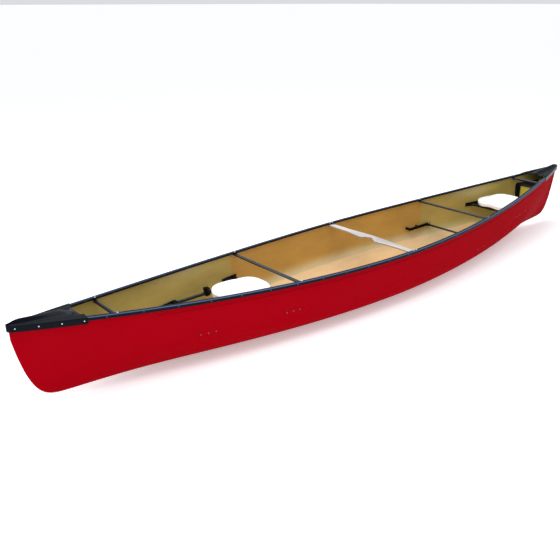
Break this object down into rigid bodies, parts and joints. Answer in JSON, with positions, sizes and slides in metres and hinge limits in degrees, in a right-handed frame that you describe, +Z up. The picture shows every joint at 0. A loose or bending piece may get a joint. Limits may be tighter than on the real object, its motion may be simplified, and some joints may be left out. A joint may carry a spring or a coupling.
{
  "type": "canoe",
  "caption": "Long open touring canoe with a red hull, tan interior, black gunwales and decks, moulded seats, a portage yoke, a foot brace and a stern flotation tank.",
  "frame": {"origin": "on the ground plane below the middle of the keel", "axes": "+X towards the bow, +Y to port, +Z up"},
  "size_m": [6.096, 0.9932, 0.6177],
  "materials": {
    "red_gelcoat": "polished gelcoat",
    "tan_laminate": "satin laminate over cloth",
    "floor_core": "satin laminate over core",
    "black_anodised": "black anodised",
    "black_moulding": "moulded satin black",
    "rivets": "black painted rivet",
    "bright_steel": "stainless",
    "varnished_ash": "gloss varnish",
    "white_moulding": "moulded white",
    "yellow_panel": "printed film, left blank",
    "red_plug": "moulded"
  },
  "bodies": {
    "hull": {"hull_skin": "red_gelcoat", "hull_liner": "tan_laminate", "floor_panel": "floor_core", "outwale_port": "black_anodised", "outwale_starboard": "black_anodised", "inwale_port": "black_anodised", "inwale_starboard": "black_anodised", "gunwale_rivets_port": "rivets", "gunwale_rivets_starboard": "rivets", "bow_deck": "black_moulding", "stern_deck": "black_moulding", "deck_rivets": "bright_steel", "bow_handle": "black_anodised", "stern_handle": "black_anodised", "front_thwart": "black_anodised", "rear_thwart": "black_anodised", "yoke": "varnished_ash", "thwart_bolts": "bright_steel", "yoke_bolts": "bright_steel", "slide_rail_port": "black_anodised", "slide_rail_starboard": "black_anodised", "rail_front_brackets": "black_anodised", "rail_rear_tube": "black_anodised", "rail_tees": "black_moulding", "rail_rear_brackets": "black_anodised", "bow_bracket_rivets": "rivets", "stern_seat_pan": "white_moulding", "stern_seat_posts": "black_moulding", "stern_seat_front_tube": "black_anodised", "stern_seat_rear_tube": "black_anodised", "stern_seat_brackets": "black_anodised", "stern_bracket_rivets": "rivets", "foot_track_port": "black_anodised", "foot_track_starboard": "black_anodised", "foot_track_spacers": "black_moulding", "foot_track_rivets": "rivets", "stern_tank": "black_moulding", "tank_label": "yellow_panel", "bow_bulkhead": "tan_laminate"},
    "bow_seat": {"bow_seat_pan": "white_moulding", "bow_seat_posts": "black_moulding", "bow_seat_front_tube": "black_anodised", "bow_seat_rear_tube": "black_anodised", "bow_seat_saddles": "black_moulding"},
    "foot_brace": {"foot_bar": "black_anodised", "foot_bar_blocks": "black_moulding", "foot_bar_screws": "bright_steel"},
    "plug": {"tank_plug": "red_plug"}
  },
  "joints": [
    {"name": "bow_seat_slide", "type": "slide", "parent": "hull", "child": "bow_seat", "axis": [1, 0, 0], "range_m": [-0.04, 0.14]},
    {"name": "foot_brace_slide", "type": "slide", "parent": "hull", "child": "foot_brace", "axis": [1, 0, 0], "range_m": [-0.02, 0.22]},
    {"name": "plug_lift", "type": "slide", "parent": "hull", "child": "plug", "axis": [0, 0, 1], "range_m": [0, 0.03]}
  ]
}
